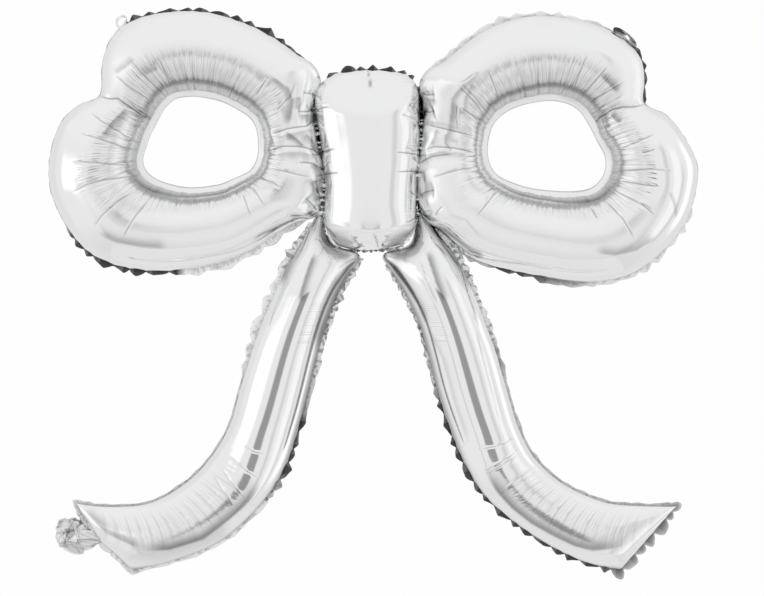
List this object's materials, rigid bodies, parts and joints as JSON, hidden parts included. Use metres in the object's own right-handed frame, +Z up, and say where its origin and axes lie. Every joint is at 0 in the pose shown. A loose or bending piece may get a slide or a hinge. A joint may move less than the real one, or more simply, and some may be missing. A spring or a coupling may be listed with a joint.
{
  "type": "bow foil balloon",
  "caption": "Inflated foil balloon shaped like a tied bow: looped chambers with open holes, a pillow knot, curved tails, scalloped weld margins, hang tabs and a filler neck.",
  "frame": {"origin": "middle of the knot, on the plane of the weld between the front and back films", "axes": "+X to the right across the two loops, +Y from the front film to the back film, +Z up as the bow hangs"},
  "size_m": [0.6778, 0.0914, 0.5854],
  "materials": {
    "foil": "mirror bright metallised film",
    "weld_margin": "puckered metallised film",
    "tab_film": "thin crinkled film"
  },
  "bodies": {
    "root": {"left_loop_front": "foil", "left_loop_back": "foil", "right_loop_front": "foil", "right_loop_back": "foil", "knot_front": "foil", "knot_back": "foil", "left_tail_front": "foil", "left_tail_back": "foil", "right_tail_front": "foil", "right_tail_back": "foil", "filler_neck": "foil", "left_loop_seam": "weld_margin", "right_loop_seam": "weld_margin", "left_hole_seam": "weld_margin", "right_hole_seam": "weld_margin", "left_pinch_seam": "weld_margin", "right_pinch_seam": "weld_margin", "knot_top_seam": "weld_margin", "knot_bottom_seam": "weld_margin", "left_tail_seam": "weld_margin", "right_tail_seam": "weld_margin", "left_hang_tab": "tab_film", "right_hang_tab": "tab_film"}
  },
  "joints": []
}
